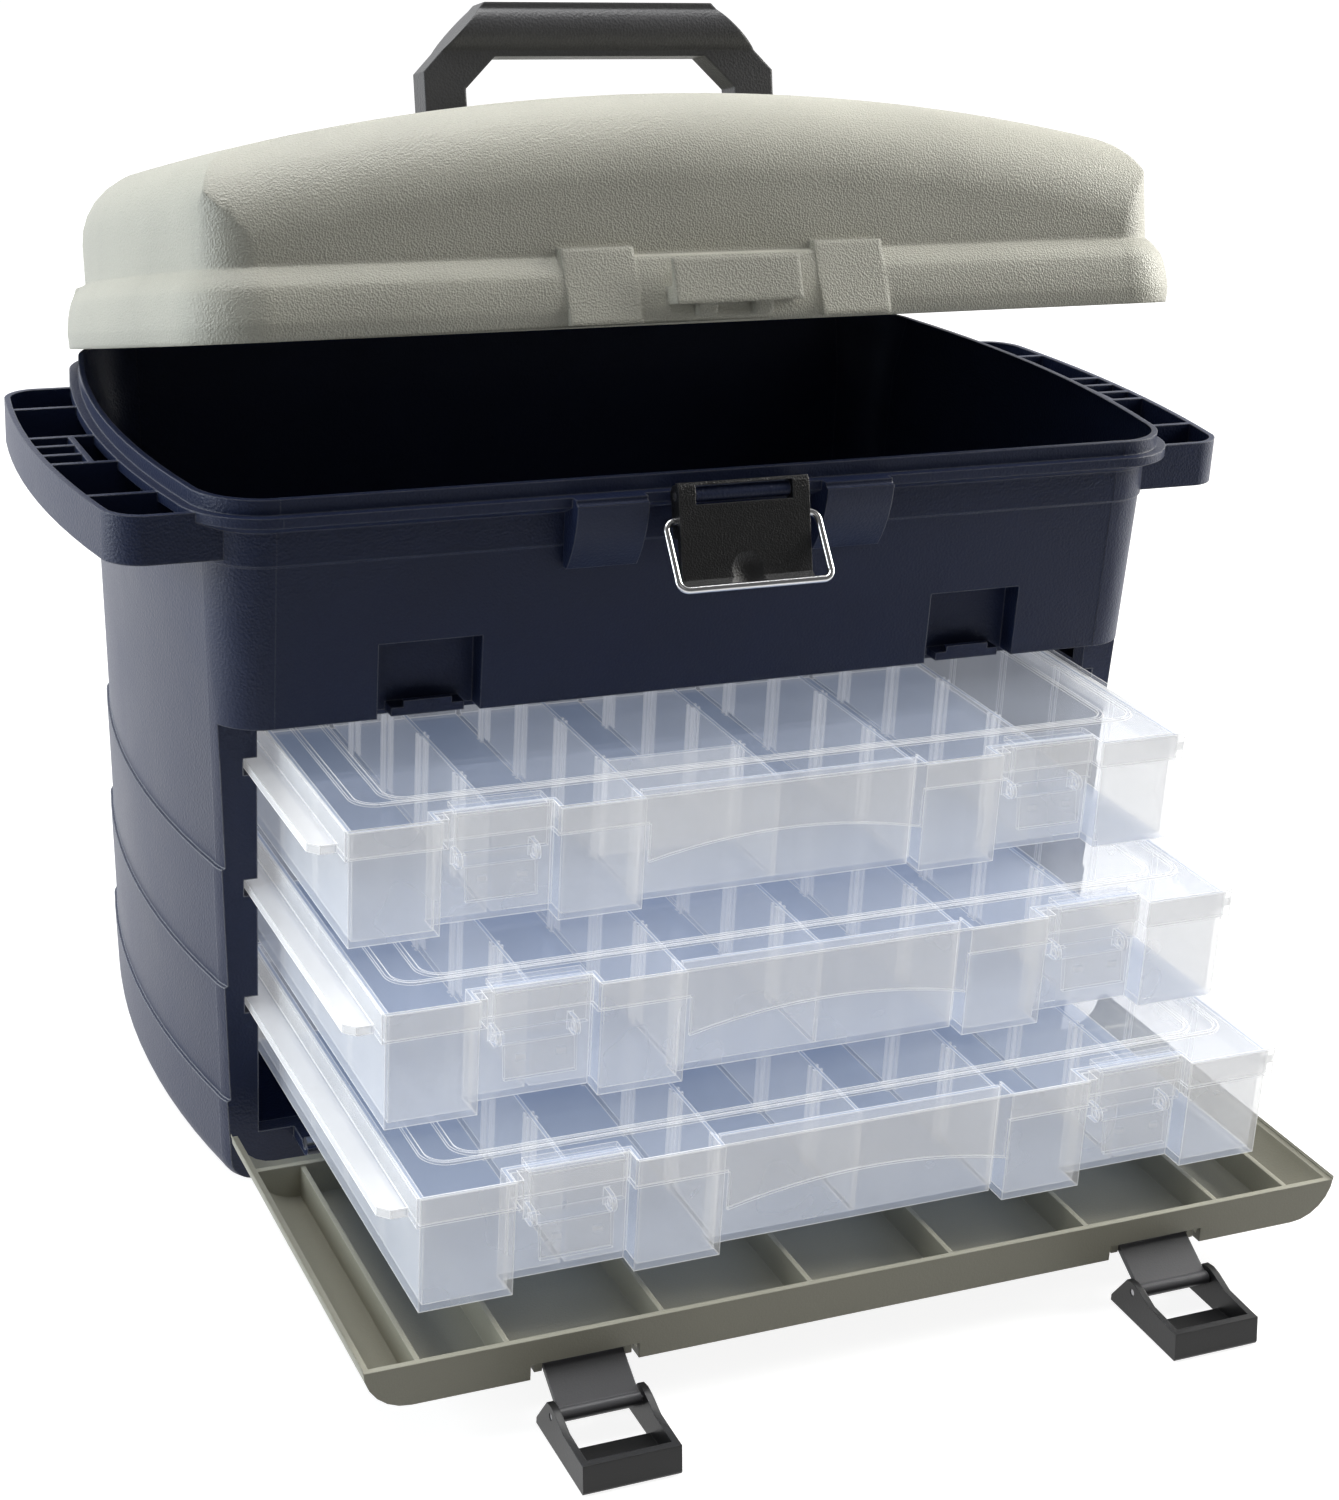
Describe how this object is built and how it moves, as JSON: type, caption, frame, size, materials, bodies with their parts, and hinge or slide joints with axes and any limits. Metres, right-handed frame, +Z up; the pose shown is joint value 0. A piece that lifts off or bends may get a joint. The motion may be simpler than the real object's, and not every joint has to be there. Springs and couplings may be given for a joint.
{
  "type": "fishing tackle box",
  "caption": "Portable tackle box with a hinged lid over a deep bin, and a drop-down door in front of clear compartment trays that slide out.",
  "frame": {"origin": "middle of the body's underside, on the surface it stands on", "axes": "+X to the right seen from the front, -Y towards the front, +Z up"},
  "size_m": [0.504, 0.4986, 0.4563],
  "materials": {
    "body": "fine moulded grain",
    "lid": "fine moulded grain",
    "door": "fine moulded grain",
    "black": "satin black",
    "chrome": "bright plated wire",
    "pin_steel": "plain steel",
    "tray_clear": "clear moulded",
    "tray_lid_clear": "clear moulded",
    "tray_latch_clear": "clear moulded"
  },
  "bodies": {
    "box": {"body": "body", "lid_hinge_pins": "pin_steel", "door_hinge_pins": "pin_steel", "lever_pin": "pin_steel"},
    "lid_group": {"lid": "lid", "handle_pins": "pin_steel"},
    "handle_group": {"handle": "black"},
    "lever_group": {"latch_lever": "black"},
    "bail_group": {"latch_bail": "chrome"},
    "door_group": {"door": "door", "link_pins": "pin_steel"},
    "left_link_group": {"left_link": "black", "left_clasp_pin": "pin_steel"},
    "right_link_group": {"right_link": "black", "right_clasp_pin": "pin_steel"},
    "left_clasp_group": {"left_clasp": "black"},
    "right_clasp_group": {"right_clasp": "black"},
    "top_tray": {"top_tray_base": "tray_clear", "top_tray_lid": "tray_lid_clear", "tray_divider": "tray_clear"},
    "top_tray_left_catch": {"top_tray_left_latch": "tray_latch_clear"},
    "top_tray_right_catch": {"top_tray_right_latch": "tray_latch_clear"},
    "middle_tray": {"middle_tray_base": "tray_clear", "middle_tray_lid": "tray_lid_clear"},
    "middle_tray_left_catch": {"middle_tray_left_latch": "tray_latch_clear"},
    "middle_tray_right_catch": {"middle_tray_right_latch": "tray_latch_clear"},
    "bottom_tray": {"bottom_tray_base": "tray_clear", "bottom_tray_lid": "tray_lid_clear"},
    "bottom_tray_left_catch": {"bottom_tray_left_latch": "tray_latch_clear"},
    "bottom_tray_right_catch": {"bottom_tray_right_latch": "tray_latch_clear"}
  },
  "joints": [
    {"name": "lid_hinge", "type": "hinge", "parent": "box", "child": "lid_group", "pos_m": [0, 0.14, 0.28], "axis": [-1, 0, 0], "range_deg": [-13.4, 95]},
    {"name": "handle_fold", "type": "hinge", "parent": "lid_group", "child": "handle_group", "pos_m": [0, 0.01865, 0.39629], "axis": [-1, 0, 0], "range_deg": [0, 84]},
    {"name": "latch_lever_hinge", "type": "hinge", "parent": "box", "child": "lever_group", "pos_m": [0, -0.1385, 0.2895], "axis": [-1, 0, 0], "range_deg": [-12, 80]},
    {"name": "bail_swing", "type": "hinge", "parent": "lever_group", "child": "bail_group", "pos_m": [0, -0.14087, 0.27999], "axis": [1, 0, 0], "range_deg": [-163.6, 0]},
    {"name": "door_hinge", "type": "hinge", "parent": "box", "child": "door_group", "pos_m": [0, -0.125, 0.022], "axis": [1, 0, 0], "range_deg": [-2, 0]},
    {"name": "left_link_hinge", "type": "hinge", "parent": "door_group", "child": "left_link_group", "pos_m": [0, -0.299, 0.023], "axis": [1, 0, 0], "range_deg": [-14, 0]},
    {"name": "left_clasp_hinge", "type": "hinge", "parent": "left_link_group", "child": "left_clasp_group", "pos_m": [0, -0.31892, 0.0115], "axis": [1, 0, 0], "range_deg": [-70, 0]},
    {"name": "right_link_hinge", "type": "hinge", "parent": "door_group", "child": "right_link_group", "pos_m": [0, -0.299, 0.023], "axis": [1, 0, 0], "range_deg": [-14, 0]},
    {"name": "right_clasp_hinge", "type": "hinge", "parent": "right_link_group", "child": "right_clasp_group", "pos_m": [0, -0.31892, 0.0115], "axis": [1, 0, 0], "range_deg": [-70, 0]},
    {"name": "top_tray_slide", "type": "slide", "parent": "box", "child": "top_tray", "axis": [0, -1, 0], "range_m": [-0.095, 0.095]},
    {"name": "top_tray_left_catch_hinge", "type": "hinge", "parent": "top_tray", "child": "top_tray_left_catch", "pos_m": [0, -0.194, 0.1725], "axis": [1, 0, 0], "range_deg": [0, 20]},
    {"name": "top_tray_right_catch_hinge", "type": "hinge", "parent": "top_tray", "child": "top_tray_right_catch", "pos_m": [0, -0.194, 0.1725], "axis": [1, 0, 0], "range_deg": [0, 20]},
    {"name": "middle_tray_slide", "type": "slide", "parent": "box", "child": "middle_tray", "axis": [0, -1, 0], "range_m": [-0.14, 0.05]},
    {"name": "middle_tray_left_catch_hinge", "type": "hinge", "parent": "middle_tray", "child": "middle_tray_left_catch", "pos_m": [0, -0.239, 0.121], "axis": [1, 0, 0], "range_deg": [0, 20]},
    {"name": "middle_tray_right_catch_hinge", "type": "hinge", "parent": "middle_tray", "child": "middle_tray_right_catch", "pos_m": [0, -0.239, 0.121], "axis": [1, 0, 0], "range_deg": [0, 20]},
    {"name": "bottom_tray_slide", "type": "slide", "parent": "box", "child": "bottom_tray", "axis": [0, -1, 0], "range_m": [-0.181, 0.009]},
    {"name": "bottom_tray_left_catch_hinge", "type": "hinge", "parent": "bottom_tray", "child": "bottom_tray_left_catch", "pos_m": [0, -0.28, 0.0695], "axis": [1, 0, 0], "range_deg": [0, 20]},
    {"name": "bottom_tray_right_catch_hinge", "type": "hinge", "parent": "bottom_tray", "child": "bottom_tray_right_catch", "pos_m": [0, -0.28, 0.0695], "axis": [1, 0, 0], "range_deg": [0, 20]}
  ]
}
